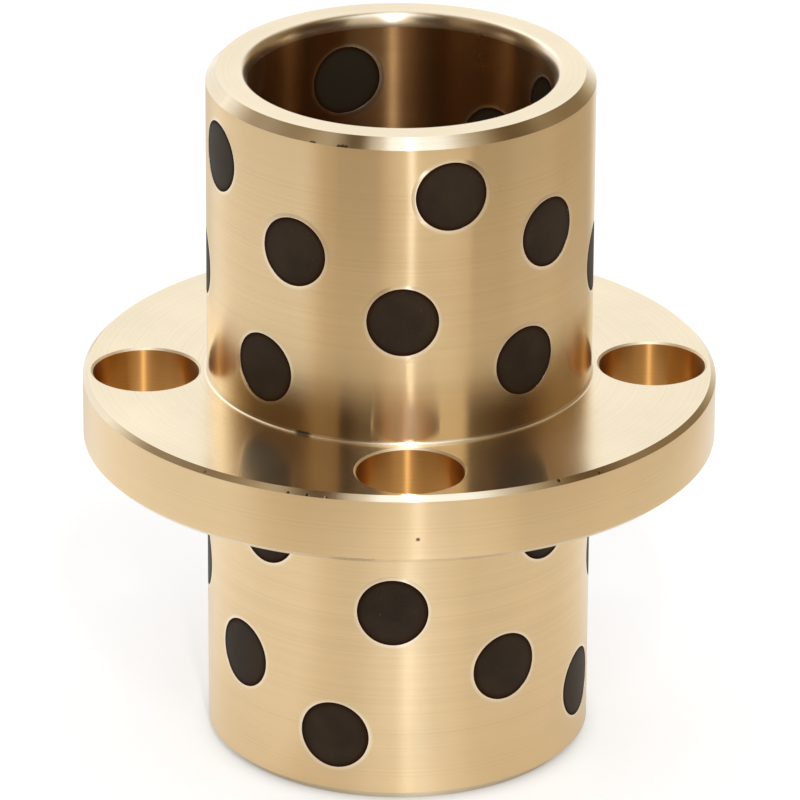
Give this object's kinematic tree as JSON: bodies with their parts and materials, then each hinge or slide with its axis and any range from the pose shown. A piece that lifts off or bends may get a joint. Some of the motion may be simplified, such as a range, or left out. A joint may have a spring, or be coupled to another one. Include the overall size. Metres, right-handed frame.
{
  "type": "graphite plugged bushing",
  "caption": "Straight brass bushing with a round flange at mid length, bolt holes in the flange and flush graphite plugs through both barrels.",
  "frame": {"origin": "centre of the lower end face", "axes": "+Z along the bore towards the upper end, with the bolt holes on the X and Y axes"},
  "size_m": [0.0624, 0.0624, 0.07],
  "materials": {
    "brass": "satin",
    "graphite": "matte"
  },
  "bodies": {
    "root": {"bushing_body": "brass", "upper_plug_1_1": "graphite", "upper_plug_1_2": "graphite", "upper_plug_1_3": "graphite", "upper_plug_1_4": "graphite", "upper_plug_2_1": "graphite", "upper_plug_2_2": "graphite", "upper_plug_2_3": "graphite", "upper_plug_2_4": "graphite", "upper_plug_3_1": "graphite", "upper_plug_3_2": "graphite", "upper_plug_3_3": "graphite", "upper_plug_3_4": "graphite", "upper_plug_4_1": "graphite", "upper_plug_4_2": "graphite", "upper_plug_4_3": "graphite", "upper_plug_4_4": "graphite", "lower_plug_1_1": "graphite", "lower_plug_1_2": "graphite", "lower_plug_1_3": "graphite", "lower_plug_1_4": "graphite", "lower_plug_2_1": "graphite", "lower_plug_2_2": "graphite", "lower_plug_2_3": "graphite", "lower_plug_2_4": "graphite", "lower_plug_3_1": "graphite", "lower_plug_3_2": "graphite", "lower_plug_3_3": "graphite", "lower_plug_3_4": "graphite", "lower_plug_4_1": "graphite", "lower_plug_4_2": "graphite", "lower_plug_4_3": "graphite", "lower_plug_4_4": "graphite"}
  },
  "joints": []
}
